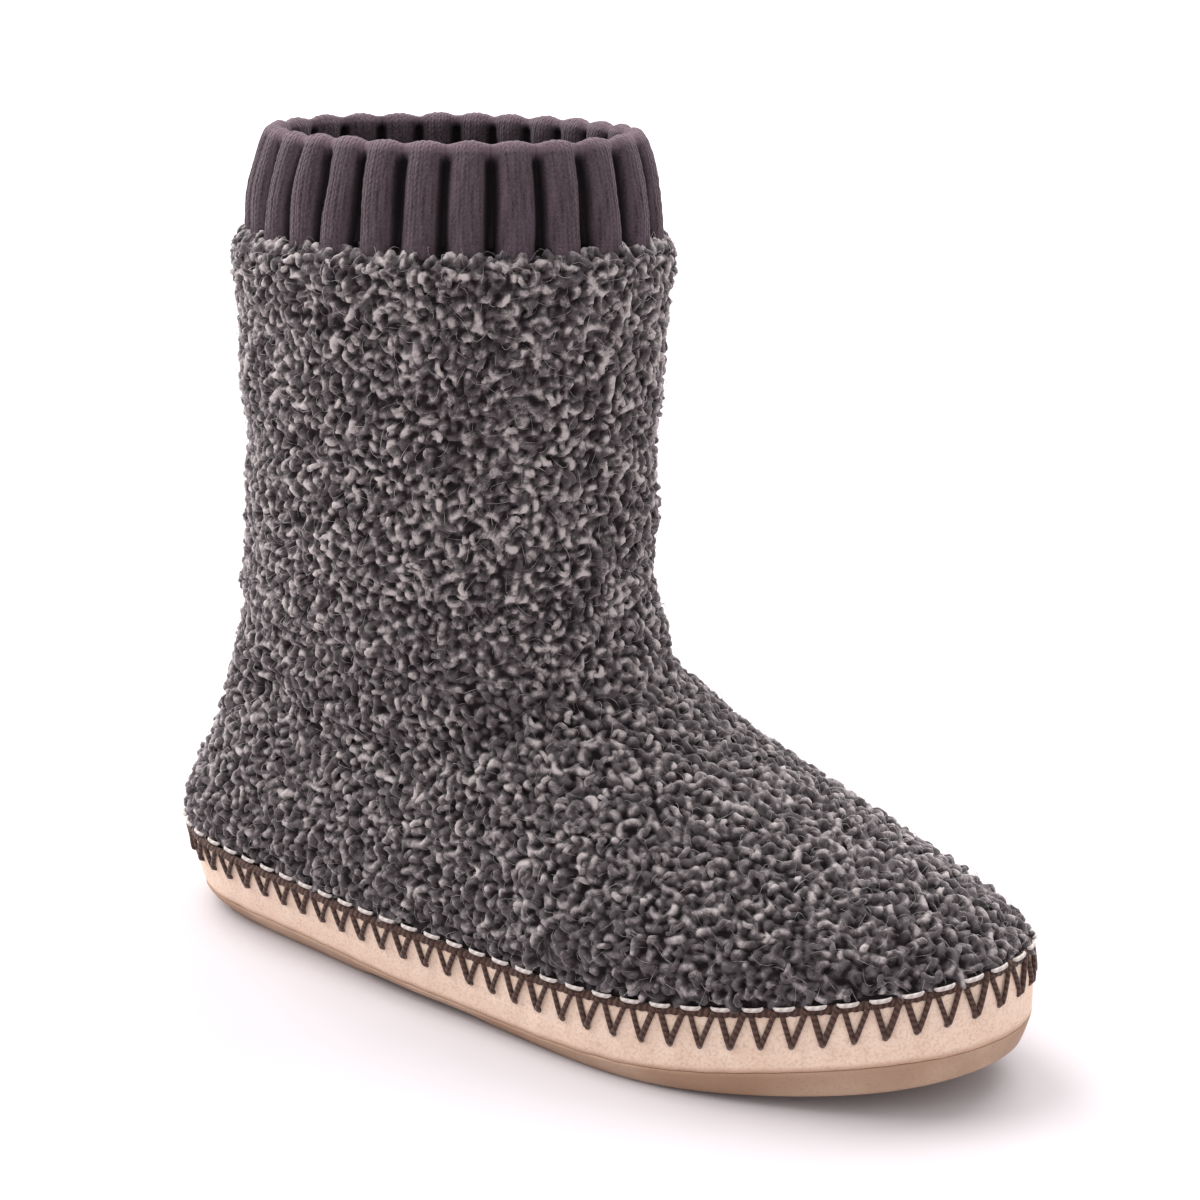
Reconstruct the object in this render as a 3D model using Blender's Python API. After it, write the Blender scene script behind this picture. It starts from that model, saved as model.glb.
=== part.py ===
"""Right slipper boot: a boucle-knit upper and a folded rib-knit cuff on a flat, suede-wrapped sole.

+X points to the toe, +Y to the inner side of the foot and +Z up. The boot stands on z = 0, and the
origin is on the floor under the middle of its bounding box. The code works in millimetres from the
back of the sole's plan, and add_solid() turns them into metres from the origin.
"""

import math

import bpy

# Driving dimensions, in millimetres.
SOLE_LENGTH = 273.0
BALL_WIDTH = 107.0  # full width of the reference ellipse the plan is drawn from
RAND_WALL = 6.0
INSOLE_TOP = 15.0
INSOLE_CHAMFER = 1.5
UPPER_WALL = 5.0  # boucle knit with its fleece lining
CUFF_HEIGHT = 31.0  # above the seam with the boucle
RIB_COUNT = 26
RIB_DEPTH = 2.4
GROOVE_POWER = 1.5  # above 1 the groove between two ribs is narrower than the rib
TOE_SPRING = 12.0
SPRING_START = 172.0  # the sole is flat from the heel to here
ARCH_RISE = 1.0  # recess under the waist, between the heel and forefoot treads
HEEL_TREAD_END = 88.0
FOREFOOT_TREAD_START = 132.0
GAP = 0.3  # between pieces that touch

COLUMNS = 64  # points round a loop of the sole or the upper
POINTS_PER_RIB = 5
LOOPS_PER_SECTION = 2  # of the knit's outside, for each row of the section table
ANGLE_STEP = 0.001  # for the direction of an edge, in radians
ROW_STEP = 0.1  # for the direction up the knit, in rows of the section table
ARC_STEPS = 8  # for each point that is spaced evenly along an ellipse
PLAN_STEPS = 200  # in the search for the widest station

# The sole's plan, from the back of the heel (station 0) to the toe (station 1). Fullness is the half
# width over that of the reference ellipse; shift moves the middle line towards the inner side.
PLAN_COLUMNS = ("station", "fullness", "shift")
PLAN = (
    (0.00, 1.55, -2.0),
    (0.12, 1.18, -1.2),
    (0.42, 0.90, -4.6),
    (0.70, 1.11, 0.8),
    (0.88, 1.11, 2.2),
    (1.00, 1.26, 6.5),
)

# The side of the sole by station: height of the suede wall's top edge, and how far its top edge, its
# lower edge and the outsole's lower edge lie inside the plan.
EDGE_COLUMNS = ("station", "top_z", "top_in", "foot_in", "tread_in")
EDGE = (
    (0.00, 25.5, -2.0, 2.8, 7.5),
    (0.25, 23.0, -0.3, 3.0, 7.5),
    (0.50, 22.5, 0.6, 2.4, 6.0),
    (0.75, 24.0, 1.6, 1.2, 3.2),
    (1.00, 27.5, 2.2, 0.6, 2.4),
)

# The outsole's thickness, up to its seam with the suede wall, by the distance from the heel as a share
# of the sole's length.
SEAM_COLUMNS = ("share", "height")
SEAM = (
    (0.00, 6.4),
    (0.22, 6.7),
    (0.45, 5.1),
    (0.70, 6.1),
    (0.84, 8.1),
    (0.93, 8.6),
    (1.00, 7.6),
)

# Section of the outsole's edge from the tread up: height as a share of the thickness, how much of its
# inset is the tread's rather than the suede wall's foot, how far it lies inside that, and the share of
# the waist's recess in it.
OUTSOLE_COLUMNS = ("share", "tread_share", "inside", "recessed")
OUTSOLE = (
    (0.00, 1.00, 0.9, 1.0),
    (0.13, 1.00, 0.0, 1.0),
    (0.58, 0.35, 0.0, 0.0),
    (1.00, 0.00, 0.3, 0.0),
)

# Sections of the knit from its lower edge up to the cuff. Each is a closed loop from its back point
# to its front point. Oval 0 has the sole's plan and oval 1 is an ellipse; dip is the share of the
# suede wall's own dip, between heel and toe, that the loop follows.
UPPER_COLUMNS = ("back_x", "back_z", "front_x", "front_z", "half_width", "oval", "dip")
UPPER = (
    (-2.4, 25.8, 270.8, 27.8, 53.4, 0.00, 1.0),
    (-4.4, 30.5, 270.6, 31.0, 55.2, 0.00, 0.9),
    (-3.6, 37.5, 262.6, 38.0, 54.6, 0.02, 0.6),
    (-0.2, 45.5, 252.0, 45.5, 52.4, 0.08, 0.3),
    (3.8, 53.5, 239.0, 53.0, 49.6, 0.14, 0.1),
    (6.8, 61.5, 223.4, 61.5, 47.2, 0.22, 0.0),
    (9.0, 71.0, 202.0, 71.5, 44.8, 0.36, 0.0),
    (11.4, 82.0, 178.2, 82.5, 43.6, 0.58, 0.0),
    (13.5, 95.0, 160.2, 95.5, 43.8, 0.80, 0.0),
    (15.2, 110.5, 152.2, 110.5, 44.8, 0.96, 0.0),
    (16.6, 128.0, 150.2, 128.0, 46.0, 1.00, 0.0),
    (17.2, 147.5, 149.6, 148.5, 47.0, 1.00, 0.0),
    (17.2, 169.0, 149.4, 171.0, 48.4, 1.00, 0.0),
    (16.8, 190.0, 150.2, 194.0, 50.6, 1.00, 0.0),
    (16.2, 204.6, 151.4, 209.4, 52.8, 1.00, 0.0),
    (17.8, 209.6, 150.2, 214.4, 52.0, 1.00, 0.0),
)

# Cross-section of the folded cuff: height as a share of the cuff's, and distance inside the knit's
# top edge. It runs up the outer side, over the fold and down the inner side. The last two columns
# scale the rib depth for the two ways in which the groove between two ribs moves the surface.
CUFF_COLUMNS = ("height", "inside", "move_in", "move_down")
CUFF = (
    (0.00, 3.8, 0.50, 0.00),
    (0.06, 2.8, 0.90, 0.00),
    (0.35, 3.4, 1.00, 0.00),
    (0.65, 5.2, 1.00, 0.00),
    (0.86, 7.2, 0.85, 0.30),
    (0.97, 9.2, 0.50, 0.80),
    (1.00, 11.2, 0.00, 1.00),
    (0.97, 13.2, -0.50, 0.80),
    (0.86, 14.8, -0.85, 0.30),
    (0.60, 14.0, -1.00, 0.00),
    (0.30, 11.6, -1.00, 0.00),
    (0.00, 9.4, -0.50, 0.00),
)

# Cross-section of the suede wall's outer face: height as a share of the wall's.
RAND_SHARES = (0.0, 0.12, 0.35, 0.65, 0.88, 1.0)
RAND_BULGE = 0.6  # how far the wall's middle stands out past a straight face

# Material name, linear base colour and roughness of each piece.
MATERIALS = {
    "outsole": ("Tan rubber outsole", (0.44, 0.29, 0.17, 1.0), 0.75),
    "rand": ("Beige suede wall", (0.79, 0.55, 0.41, 1.0), 0.95),
    "insole": ("Fleece footbed", (0.10, 0.09, 0.10, 1.0), 1.0),
    "upper": ("Boucle knit", (0.09, 0.08, 0.09, 1.0), 1.0),
    "cuff": ("Rib knit", (0.07, 0.055, 0.065, 1.0), 1.0),
}


def curve(table, columns, name):
    """A smooth function of the table's first column that passes through the named column."""
    along = [row[0] for row in table]
    value = [row[columns.index(name)] for row in table]
    last = len(table) - 1
    step = [(value[i + 1] - value[i]) / (along[i + 1] - along[i]) for i in range(last)]
    slope = [step[0]]
    for i in range(1, last):
        before, after = along[i] - along[i - 1], along[i + 1] - along[i]
        slope.append((step[i - 1] * after + step[i] * before) / (before + after))
    slope.append(step[-1])

    def at(x):
        x = min(max(x, along[0]), along[-1])
        i = max(k for k in range(last) if x >= along[k])
        width = along[i + 1] - along[i]
        u = (x - along[i]) / width
        rise = u * u * (3.0 - 2.0 * u)
        start = width * slope[i] * u * (1.0 - u) ** 2
        end = width * slope[i + 1] * u * u * (1.0 - u)
        return value[i] + (value[i + 1] - value[i]) * rise + start - end

    return at


def numbered(table):
    """The table with each row's number in front, so that a curve can run along its rows."""
    return tuple((float(i),) + row for i, row in enumerate(table))


FULLNESS, SHIFT = (curve(PLAN, PLAN_COLUMNS, name) for name in PLAN_COLUMNS[1:])
TOP_Z, TOP_IN, FOOT_IN, TREAD_IN = (curve(EDGE, EDGE_COLUMNS, name) for name in EDGE_COLUMNS[1:])
SEAM_HEIGHT = curve(SEAM, SEAM_COLUMNS, "height")
SECTION = {name: curve(numbered(UPPER), ("row",) + UPPER_COLUMNS, name) for name in UPPER_COLUMNS}


def station(angle):
    """Distance along the boot as a share of its length, for a point at this angle round a loop."""
    return 0.5 - 0.5 * math.cos(angle)


def bow(t):
    """Half width of an ellipse of unit half width, at station t."""
    return 2.0 * math.sqrt(max(t * (1.0 - t), 0.0))


def side(angle):
    """-1 on the outer half of a loop and 1 on the inner half."""
    return -1.0 if math.sin(angle) >= 0.0 else 1.0


def plan_half_width(t):
    return 0.5 * BALL_WIDTH * bow(t) * FULLNESS(t)


WIDEST = max(plan_half_width(i / PLAN_STEPS) for i in range(PLAN_STEPS + 1))


def spring(x):
    """How far the sole has risen off the floor at x."""
    reach = max(x - SPRING_START, 0.0) / (SOLE_LENGTH - SPRING_START)
    return TOE_SPRING * reach * reach


def plan_point(angle, inset):
    """A point of the sole's plan, moved inwards by inset."""

    def edge(a):
        t = station(a)
        return SOLE_LENGTH * t, SHIFT(t) + side(a) * plan_half_width(t)

    x, y = edge(angle)
    x0, y0 = edge(angle - ANGLE_STEP)
    x1, y1 = edge(angle + ANGLE_STEP)
    length = math.hypot(x1 - x0, y1 - y0)
    return x - inset * (y1 - y0) / length, y + inset * (x1 - x0) / length


def sole_loop(inset, height):
    """A loop round the sole, from its inset and its height above the lifted floor by station."""
    loop = []
    for k in range(COLUMNS):
        angle = 2.0 * math.pi * k / COLUMNS
        t = station(angle)
        x, y = plan_point(angle, inset(t))
        loop.append((x, y, height(t, x) + spring(x)))
    return loop


def upper_point(row, angle):
    """A point of the knit's outside."""
    at = {name: SECTION[name](row) for name in UPPER_COLUMNS}
    t = station(angle)
    x = at["back_x"] + (at["front_x"] - at["back_x"]) * t
    foot = plan_half_width(t) / WIDEST
    shape = foot + (bow(t) - foot) * at["oval"]
    y = SHIFT(t) * (1.0 - at["oval"]) + side(angle) * at["half_width"] * shape
    level = TOP_Z(0.0) + (TOP_Z(1.0) - TOP_Z(0.0)) * t
    z = at["back_z"] + (at["front_z"] - at["back_z"]) * t + at["dip"] * (TOP_Z(t) - level)
    return x, y, z + spring(x)


def minus(a, b):
    return tuple(p - q for p, q in zip(a, b))


def cross(a, b):
    return (a[1] * b[2] - a[2] * b[1], a[2] * b[0] - a[0] * b[2], a[0] * b[1] - a[1] * b[0])


def unit(a):
    length = math.sqrt(sum(p * p for p in a))
    return tuple(p / length for p in a)


def upper_loop(row, depth):
    """A loop of the knit, depth inside its outer surface; the two end loops stay level."""
    last = len(UPPER) - 1
    loop = []
    for k in range(COLUMNS):
        angle = 2.0 * math.pi * k / COLUMNS
        point = upper_point(row, angle)
        along = minus(upper_point(row, angle + ANGLE_STEP), upper_point(row, angle - ANGLE_STEP))
        above, below = min(row + ROW_STEP, last), max(row - ROW_STEP, 0.0)
        up = minus(upper_point(above, angle), upper_point(below, angle))
        level = 0.0 if row in (0, last) else 1.0
        normal = cross(along, up)
        normal = unit((normal[0], normal[1], normal[2] * level))
        loop.append(tuple(p - depth * n for p, n in zip(point, normal)))
    return loop


def evenly_round(long_half, wide_half, count):
    """Angles that step evenly along an ellipse's edge, starting from its back point."""
    steps = ARC_STEPS * count
    arc = [0.0]
    for i in range(steps):
        a = 2.0 * math.pi * (i + 0.5) / steps
        arc.append(arc[-1] + math.hypot(long_half * math.sin(a), wide_half * math.cos(a)))
    angles = []
    i = 0
    for k in range(count):
        goal = arc[-1] * k / count
        while arc[i + 1] <= goal:
            i += 1
        angles.append(2.0 * math.pi * (i + (goal - arc[i]) / (arc[i + 1] - arc[i])) / steps)
    return angles


def cuff_loop(height, inside, move_in, move_down):
    """A ribbed loop of the cuff, inside the ellipse of the knit's top edge."""
    top = dict(zip(UPPER_COLUMNS, UPPER[-1]))
    middle = 0.5 * (top["back_x"] + top["front_x"])
    length = top["front_x"] - top["back_x"]
    long_half = 0.5 * length - inside
    wide_half = top["half_width"] - inside
    loop = []
    for k, a in enumerate(evenly_round(long_half, wide_half, RIB_COUNT * POINTS_PER_RIB)):
        groove = RIB_DEPTH * station(2.0 * math.pi * k / POINTS_PER_RIB) ** GROOVE_POWER
        out = unit((-math.cos(a) / long_half, -math.sin(a) / wide_half, 0.0))
        x = middle - long_half * math.cos(a) - groove * move_in * out[0]
        y = -wide_half * math.sin(a) - groove * move_in * out[1]
        seam = top["back_z"] + (top["front_z"] - top["back_z"]) * (x - top["back_x"]) / length
        loop.append((x, y, seam + GAP + height * CUFF_HEIGHT - groove * move_down))
    return loop


def recess(x):
    """Height of the outsole's underside: nothing under heel and forefoot, ARCH_RISE at the waist."""
    u = (x - HEEL_TREAD_END) / (FOREFOOT_TREAD_START - HEEL_TREAD_END)
    return ARCH_RISE if 0.0 < u < 1.0 else 0.0


def thickness(x):
    """Thickness of the outsole at x."""
    return SEAM_HEIGHT(x / SOLE_LENGTH)


def outsole_loop(share, tread_share, inside, recessed):
    """A loop of the outsole's edge, from one row of its section."""

    def inset(t):
        return TREAD_IN(t) * tread_share + FOOT_IN(t) * (1.0 - tread_share) + inside

    return sole_loop(inset, lambda t, x: thickness(x) * share + recessed * recess(x))


def outsole_loops():
    return tuple(outsole_loop(**dict(zip(OUTSOLE_COLUMNS, row))) for row in OUTSOLE)


def foot_z(x):
    """Height of what stands on the outsole."""
    return thickness(x) + GAP


def rand_loops():
    def outer(share):
        def inset(t):
            straight = FOOT_IN(t) * (1.0 - share) + TOP_IN(t) * share
            return straight - RAND_BULGE * 4.0 * share * (1.0 - share)

        def height(t, x):
            return foot_z(x) + (TOP_Z(t) - foot_z(x)) * share

        return sole_loop(inset, height)

    inner_top = sole_loop(lambda t: RAND_WALL, lambda t, x: TOP_Z(t))
    inner_foot = sole_loop(lambda t: RAND_WALL, lambda t, x: foot_z(x))
    return tuple(outer(share) for share in RAND_SHARES) + (inner_top, inner_foot)


def insole_loops():
    edge = RAND_WALL + GAP
    return (
        sole_loop(lambda t: edge, lambda t, x: foot_z(x)),
        sole_loop(lambda t: edge, lambda t, x: INSOLE_TOP - INSOLE_CHAMFER),
        sole_loop(lambda t: edge + INSOLE_CHAMFER, lambda t, x: INSOLE_TOP),
    )


def upper_loops():
    last = len(UPPER) - 1
    outer = [upper_loop(i / LOOPS_PER_SECTION, 0.0) for i in range(LOOPS_PER_SECTION * last + 1)]
    inner = [upper_loop(float(i), UPPER_WALL) for i in range(last, -1, -1)]
    return tuple(outer + inner)


def cuff_loops():
    return tuple(cuff_loop(**dict(zip(CUFF_COLUMNS, row))) for row in CUFF)


def stacked(loops, ring):
    """Faces that join each loop to the next. A ring also joins the last loop to the first; any other
    solid is closed below its first loop and above its last by strips across the boot."""
    count = len(loops[0])
    faces = []
    for i in range(len(loops) if ring else len(loops) - 1):
        low, high = i * count, (i + 1) % len(loops) * count
        for k in range(count):
            after = (k + 1) % count
            faces.append((low + k, low + after, high + after, high + k))
    if not ring:
        top = (len(loops) - 1) * count
        for k in range(count // 2):
            strip = [k, k + 1, count - k - 1, (count - k) % count]
            strip = list(dict.fromkeys(strip))
            faces.append(tuple(reversed(strip)))
            faces.append(tuple(top + i for i in strip))
    return faces


def add_solid(name, loops, ring, origin):
    mesh = bpy.data.meshes.new(name)
    points = [tuple((p - o) / 1000.0 for p, o in zip(point, origin)) for loop in loops for point in loop]
    mesh.from_pydata(points, [], stacked(loops, ring))
    mesh.validate()
    title, colour, roughness = MATERIALS[name]
    material = bpy.data.materials.new(title)
    material.use_nodes = True
    shader = material.node_tree.nodes["Principled BSDF"]
    shader.inputs["Base Color"].default_value = colour
    shader.inputs["Roughness"].default_value = roughness
    mesh.materials.append(material)
    solid = bpy.data.objects.new(name, mesh)
    bpy.context.scene.collection.objects.link(solid)


def main():
    for thing in list(bpy.data.objects):
        bpy.data.objects.remove(thing)
    solids = {
        "outsole": (outsole_loops(), False),
        "rand": (rand_loops(), True),
        "insole": (insole_loops(), False),
        "upper": (upper_loops(), True),
        "cuff": (cuff_loops(), True),
    }
    spread = [[point[axis] for loops, _ in solids.values() for loop in loops for point in loop]
              for axis in (0, 1)]
    origin = tuple(0.5 * (min(values) + max(values)) for values in spread) + (0.0,)
    for name, (loops, ring) in solids.items():
        add_solid(name, loops, ring, origin)


main()
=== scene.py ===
import math
from functools import partial

import bpy
import numpy as np
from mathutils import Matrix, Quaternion, Vector


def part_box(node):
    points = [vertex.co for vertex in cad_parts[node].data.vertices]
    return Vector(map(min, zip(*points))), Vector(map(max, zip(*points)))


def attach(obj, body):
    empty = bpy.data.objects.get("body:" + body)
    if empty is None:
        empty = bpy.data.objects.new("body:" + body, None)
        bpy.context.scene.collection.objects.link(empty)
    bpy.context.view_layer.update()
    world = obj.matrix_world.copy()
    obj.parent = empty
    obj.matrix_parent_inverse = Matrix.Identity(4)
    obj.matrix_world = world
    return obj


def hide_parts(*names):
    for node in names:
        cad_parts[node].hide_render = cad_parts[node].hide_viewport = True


# A slipper boot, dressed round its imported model: curly boucle knit, a folded rib-knit cuff, a suede
# wall with a zigzag seam, a fleece inside and a rubber outsole. Lengths are in millimetres from the
# back of the sole, unless noted. +x runs to the toe, +y to the inner side, +z up.

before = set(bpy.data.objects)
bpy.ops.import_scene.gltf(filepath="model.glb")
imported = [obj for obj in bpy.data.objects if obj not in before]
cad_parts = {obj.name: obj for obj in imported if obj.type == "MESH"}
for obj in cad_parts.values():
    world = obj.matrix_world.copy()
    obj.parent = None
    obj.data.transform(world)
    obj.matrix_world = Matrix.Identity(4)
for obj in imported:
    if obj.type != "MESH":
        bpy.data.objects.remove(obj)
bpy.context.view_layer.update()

sole = {
    "length": 273.0, "ballWidth": 107.0, "wall": 6.0, "gap": 0.3, "bulge": 0.6,
    "toeSpring": 12.0, "springStart": 172.0,
    # station, fullness, shift towards the inner side
    "plan": ((0.0, 1.55, -2.0), (0.12, 1.18, -1.2), (0.42, 0.9, -4.6), (0.7, 1.11, 0.8),
             (0.88, 1.11, 2.2), (1.0, 1.26, 6.5)),
    # station, height of the wall's top edge, and how far its top, its foot and the tread lie inside
    "edge": ((0.0, 25.5, -2.0, 2.8, 7.5), (0.25, 23.0, -0.3, 3.0, 7.5), (0.5, 22.5, 0.6, 2.4, 6.0),
             (0.75, 24.0, 1.6, 1.2, 3.2), (1.0, 27.5, 2.2, 0.6, 2.4)),
    # share of the length, height of the outsole's seam with the wall
    "seam": ((0.0, 6.4), (0.22, 6.7), (0.45, 5.1), (0.7, 6.1), (0.84, 8.1), (0.93, 8.6), (1.0, 7.6)),
}

boot = {
    # sections of the knit: back x and z, front x and z, half width, share of oval, share of the dip;
    # the last but one is its top edge, and the last turns in under the cuff's foot
    "sections": (
        (-2.4, 25.8, 270.8, 27.8, 53.4, 0.0, 1.0), (-4.4, 30.5, 270.6, 31.0, 55.2, 0.0, 0.9),
        (-3.6, 37.5, 262.6, 38.0, 54.6, 0.02, 0.6), (-0.2, 45.5, 252.0, 45.5, 52.4, 0.08, 0.3),
        (3.8, 53.5, 239.0, 53.0, 49.6, 0.14, 0.1), (6.8, 61.5, 223.4, 61.5, 47.2, 0.22, 0.0),
        (9.0, 71.0, 202.0, 71.5, 44.8, 0.36, 0.0), (11.4, 82.0, 178.2, 82.5, 43.6, 0.58, 0.0),
        (13.5, 95.0, 160.2, 95.5, 43.8, 0.8, 0.0), (15.2, 110.5, 152.2, 110.5, 44.8, 0.96, 0.0),
        (16.6, 128.0, 150.2, 128.0, 46.0, 1.0, 0.0), (17.2, 147.5, 149.6, 148.5, 47.0, 1.0, 0.0),
        (17.2, 169.0, 149.4, 171.0, 48.4, 1.0, 0.0), (16.8, 190.0, 150.2, 194.0, 50.6, 1.0, 0.0),
        (16.2, 204.6, 151.4, 209.4, 52.8, 1.0, 0.0), (17.8, 209.6, 150.2, 214.4, 52.0, 1.0, 0.0),
        (22.2, 210.7, 145.8, 215.5, 47.6, 1.0, 0.0)),
    # soft folds in side view: side (-1 outer, 1 inner), points (x, z), width and depth
    "folds": (
        (-1, ((42, 78), (70, 69), (103, 72), (130, 83), (150, 97)), 7.0, 2.0),
        (1, ((36, 74), (74, 66), (112, 71), (150, 96)), 7.5, 1.8),
        (-1, ((20, 98), (48, 92), (78, 98)), 6.0, 1.2),
        (1, ((20, 101), (52, 94), (84, 101)), 6.0, 1.1),
        (-1, ((96, 120), (124, 112), (151, 121)), 7.0, 1.0),
        (1, ((92, 124), (122, 116), (151, 126)), 7.0, 0.9),
        (-1, ((18, 150), (50, 158), (88, 154)), 9.0, 0.9),
        (1, ((70, 162), (110, 154), (148, 160)), 9.0, 0.8)),
}

tau = 2.0 * math.pi  # a full turn


def linear(hexColour):
    parts = [part / 255.0 for part in bytes.fromhex(hexColour[1:])]
    return [p / 12.92 if p <= 0.04045 else ((p + 0.055) / 1.055) ** 2.4 for p in parts] + [1.0]


def turns(count):
    # angles that step evenly through one turn
    return np.linspace(0.0, tau, count, endpoint=False)


def unit(vectors):
    return vectors / np.maximum(np.linalg.norm(vectors, axis=-1, keepdims=True), 1e-9)


def lengths(vectors):
    return np.linalg.norm(vectors, axis=-1)


def runAlong(line):
    # the distance walked along a line of points, at each of them
    return np.append(0.0, np.cumsum(lengths(np.diff(line, axis=0))))


def evenly(fine, line, count, closed=False):
    # the values in fine at even distances along the line they lay out
    run = runAlong(line)
    return np.interp(np.linspace(0.0, run[-1], count, endpoint=not closed), run, fine)


def headings(ring):
    # the way ahead at each point of a closed line
    return unit(np.roll(ring, -1, axis=0) - np.roll(ring, 1, axis=0))


def ease(low, high, value):
    # a smooth step from 0 at low to 1 at high
    u = np.clip((value - low) / (high - low), 0.0, 1.0)
    return u * u * (3.0 - 2.0 * u)


def smoothCurves(table):
    # one smooth function of the first column for each other column
    along = np.array([row[0] for row in table], float)
    width = np.diff(along)

    def through(value):
        step = np.diff(value) / width
        middle = (step[:-1] * width[1:] + step[1:] * width[:-1]) / (width[:-1] + width[1:])
        slope = np.concatenate((step[:1], middle, step[-1:]))

        def at(x):
            x = np.clip(x, along[0], along[-1])
            i = np.clip(np.searchsorted(along, x, side="right") - 1, 0, len(step) - 1)
            u = (x - along[i]) / width[i]
            rise = u * u * (3.0 - 2.0 * u)
            start = width[i] * slope[i] * u * (1.0 - u) ** 2
            end = width[i] * slope[i + 1] * u * u * (1.0 - u)
            return value[i] + (value[i + 1] - value[i]) * rise + start - end

        return at

    return [through(np.array([row[c] for row in table], float)) for c in range(1, len(table[0]))]


def rolling(points, wavelength, seed, waves=9):
    # a soft random field between about -1 and 1, of waves of nearly one length
    draw = np.random.default_rng(seed)
    total = np.zeros(points.shape[:-1])
    for _ in range(waves):
        way = unit(draw.normal(size=3)) * (tau / wavelength) * draw.uniform(0.7, 1.4)
        total += np.sin(points @ way + draw.uniform(0.0, tau))
    return total * (1.6 / waves)


# The boot's surfaces. An angle of 0 is the middle of the heel and half a turn the tip of the toe;
# a station runs from 0 at the heel to 1 at the toe, and a row counts the knit's sections upwards.

fullness, shift = smoothCurves(sole["plan"])
topHeight, topInset, footInset, treadInset = smoothCurves(sole["edge"])
seamHeight, = smoothCurves(sole["seam"])
lastRow = len(boot["sections"]) - 1
edgeRow = lastRow - 1
backX, backZ, frontX, frontZ, halfWidth, oval, dip = smoothCurves(
    [(float(i),) + row for i, row in enumerate(boot["sections"])])
turnStep, rowStep, shareStep = 0.001, 0.1, 0.02  # how far apart slopes are taken


def station(angle):
    return 0.5 - 0.5 * np.cos(angle)


def side(angle):
    return np.where(np.sin(angle) >= 0.0, -1.0, 1.0)


def bow(t):
    return 2.0 * np.sqrt(np.maximum(t * (1.0 - t), 0.0))


def planHalfWidth(t):
    return 0.5 * sole["ballWidth"] * bow(t) * fullness(t)


widest = planHalfWidth(np.linspace(0.0, 1.0, 201)).max()


def spring(x):
    reach = np.maximum(x - sole["springStart"], 0.0) / (sole["length"] - sole["springStart"])
    return sole["toeSpring"] * reach * reach


def planEdge(angle):
    t = station(angle)
    return np.stack([sole["length"] * t, shift(t) + side(angle) * planHalfWidth(t)], -1)


def solePoint(angle, inset, height=0.0, seamShare=0.0):
    # a point inset from the sole's plan, at a height and a share of the seam's above the lifted floor
    ahead = unit(planEdge(angle + turnStep) - planEdge(angle - turnStep))
    flat = planEdge(angle)
    x = flat[..., 0] - inset * ahead[..., 1]
    y = flat[..., 1] + inset * ahead[..., 0]
    return np.stack([x, y, height + seamShare * seamHeight(x / sole["length"]) + spring(x)], -1)


def wallHeight(angle):
    # from its foot to its top edge
    t = station(angle)
    x = solePoint(angle, footInset(t))[..., 0]
    return topHeight(t) - seamHeight(x / sole["length"]) - sole["gap"]


def wallPoint(angle, share):
    # the suede wall's outer face, share 0 at its foot and 1 at its top edge
    t = station(angle)
    inset = footInset(t) * (1.0 - share) + topInset(t) * share - sole["bulge"] * 4.0 * share * (1.0 - share)
    return solePoint(angle, inset, sole["gap"] * (1.0 - share) + topHeight(t) * share, 1.0 - share)


def wallNormal(angle, share):
    along = wallPoint(angle + turnStep, share) - wallPoint(angle - turnStep, share)
    return unit(np.cross(along, wallPoint(angle, share + shareStep) - wallPoint(angle, share - shareStep)))


def knitPoint(row, angle):
    t = station(angle)
    x = backX(row) + (frontX(row) - backX(row)) * t
    foot = planHalfWidth(t) / widest
    shape = foot + (bow(t) - foot) * oval(row)
    y = shift(t) * (1.0 - oval(row)) + side(angle) * halfWidth(row) * shape
    level = topHeight(0.0) + (topHeight(1.0) - topHeight(0.0)) * t
    z = backZ(row) + (frontZ(row) - backZ(row)) * t + dip(row) * (topHeight(t) - level)
    return np.stack([x, y, z + spring(x)], -1)


def knitAlong(row, angle):
    return unit(knitPoint(row, angle + turnStep) - knitPoint(row, angle - turnStep))


def knitNormal(row, angle):
    above = np.minimum(row + rowStep, lastRow)
    below = np.maximum(row - rowStep, 0.0)
    return unit(np.cross(knitAlong(row, angle), knitPoint(above, angle) - knitPoint(below, angle)))


def foldDepth(points):
    # how far the folds move the knit out (+) or in (-)
    total = np.zeros(points.shape[:-1])
    for which, line, width, depth in boot["folds"]:
        line = np.array(line, float)
        nearest, above = np.inf, 0.0
        for a, b in zip(line[:-1], line[1:]):
            run = b - a
            flat = points[..., (0, 2)] - a
            u = np.clip(flat @ run / (run @ run), 0.0, 1.0)
            off = flat - u[..., None] * run
            distance = lengths(off)
            closer = distance < nearest
            above = np.where(closer, np.sign(off[..., 1]), above)
            nearest = np.where(closer, distance, nearest)
        here = ease(2.0, 14.0, which * points[..., 1])  # folds fade before the middle
        trough = -np.exp(-(nearest / width) ** 2)
        ridge = 0.7 * np.exp(-((nearest - 1.5 * width) / width) ** 2) * (above > 0)
        total += depth * here * (trough + ridge)
    return total


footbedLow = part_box("insole")[0]
cuffLow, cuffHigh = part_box("cuff")
origin = np.array([sole["wall"] + sole["gap"] - 1000.0 * footbedLow.x,
                   -500.0 * (cuffLow.y + cuffHigh.y), 0.0])  # the frame's origin, in these millimetres


def sheetFaces(rows, columns, loopRows=False):
    # four-sided faces over a grid of points, closed round its columns and maybe its rows
    r = np.arange(rows if loopRows else rows - 1)[:, None]
    c = np.arange(columns)[None, :]
    r2, c2 = (r + 1) % rows, (c + 1) % columns
    corners = [r * columns + c, r * columns + c2, r2 * columns + c2, r2 * columns + c]
    return np.stack(corners, -1).reshape(-1, 4)


def addObject(name, data):
    made = bpy.data.objects.new(name, data)
    bpy.context.scene.collection.objects.link(made)
    return made


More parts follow.
